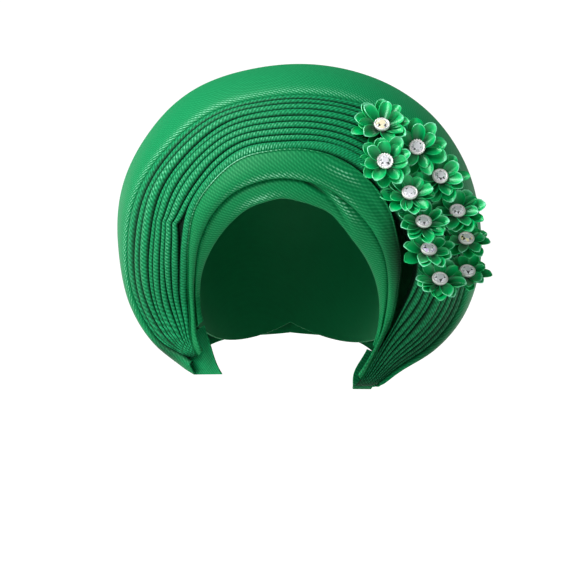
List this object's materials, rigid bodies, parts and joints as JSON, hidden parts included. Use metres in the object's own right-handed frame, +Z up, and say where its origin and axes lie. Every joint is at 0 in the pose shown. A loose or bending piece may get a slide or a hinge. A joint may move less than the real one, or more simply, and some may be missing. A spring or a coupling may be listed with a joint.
{
  "type": "pleated aso oke head wrap, worn like a beret",
  "caption": "Ready-made pleated head wrap of green woven strip cloth, open at the face and neck, with a side spray of satin flowers set with clear stones.",
  "frame": {"origin": "highest point inside the cap, where the crown of the head sits", "axes": "+X to the right of a viewer who faces the front, -Y out of the front past the face, +Z up"},
  "size_m": [0.2907, 0.2079, 0.2583],
  "materials": {
    "head_cap": "ribbed hand-woven strip cloth with a slight metallic sheen",
    "upper_band": "ribbed hand-woven strip cloth with a slight metallic sheen",
    "pleated_fan": "ribbed hand-woven strip cloth with a slight metallic sheen",
    "outer_crown": "ribbed hand-woven strip cloth with a slight metallic sheen",
    "left_tab": "ribbed hand-woven strip cloth with a slight metallic sheen",
    "right_tab": "ribbed hand-woven strip cloth with a slight metallic sheen",
    "flower_01": "smooth satin ribbon",
    "flower_02": "smooth satin ribbon",
    "flower_03": "smooth satin ribbon",
    "flower_04": "smooth satin ribbon",
    "flower_05": "smooth satin ribbon",
    "flower_06": "smooth satin ribbon",
    "flower_07": "smooth satin ribbon",
    "flower_08": "smooth satin ribbon",
    "flower_09": "smooth satin ribbon",
    "flower_10": "smooth satin ribbon",
    "flower_11": "smooth satin ribbon",
    "setting_01": "bright silver-toned metal",
    "setting_02": "bright silver-toned metal",
    "setting_03": "bright silver-toned metal",
    "setting_04": "bright silver-toned metal",
    "setting_05": "bright silver-toned metal",
    "setting_06": "bright silver-toned metal",
    "setting_07": "bright silver-toned metal",
    "setting_08": "bright silver-toned metal",
    "setting_09": "bright silver-toned metal",
    "setting_10": "bright silver-toned metal",
    "setting_11": "bright silver-toned metal",
    "stone_01": "clear cut crystal",
    "stone_02": "clear cut crystal",
    "stone_03": "clear cut crystal",
    "stone_04": "clear cut crystal",
    "stone_05": "clear cut crystal",
    "stone_06": "clear cut crystal",
    "stone_07": "clear cut crystal",
    "stone_08": "clear cut crystal",
    "stone_09": "clear cut crystal",
    "stone_10": "clear cut crystal",
    "stone_11": "clear cut crystal"
  },
  "bodies": {
    "root": {"head_cap": "head_cap", "upper_band": "upper_band", "pleated_fan": "pleated_fan", "outer_crown": "outer_crown", "left_tab": "left_tab", "right_tab": "right_tab", "flower_01": "flower_01", "flower_02": "flower_02", "flower_03": "flower_03", "flower_04": "flower_04", "flower_05": "flower_05", "flower_06": "flower_06", "flower_07": "flower_07", "flower_08": "flower_08", "flower_09": "flower_09", "flower_10": "flower_10", "flower_11": "flower_11", "setting_01": "setting_01", "setting_02": "setting_02", "setting_03": "setting_03", "setting_04": "setting_04", "setting_05": "setting_05", "setting_06": "setting_06", "setting_07": "setting_07", "setting_08": "setting_08", "setting_09": "setting_09", "setting_10": "setting_10", "setting_11": "setting_11", "stone_01": "stone_01", "stone_02": "stone_02", "stone_03": "stone_03", "stone_04": "stone_04", "stone_05": "stone_05", "stone_06": "stone_06", "stone_07": "stone_07", "stone_08": "stone_08", "stone_09": "stone_09", "stone_10": "stone_10", "stone_11": "stone_11"}
  },
  "joints": []
}
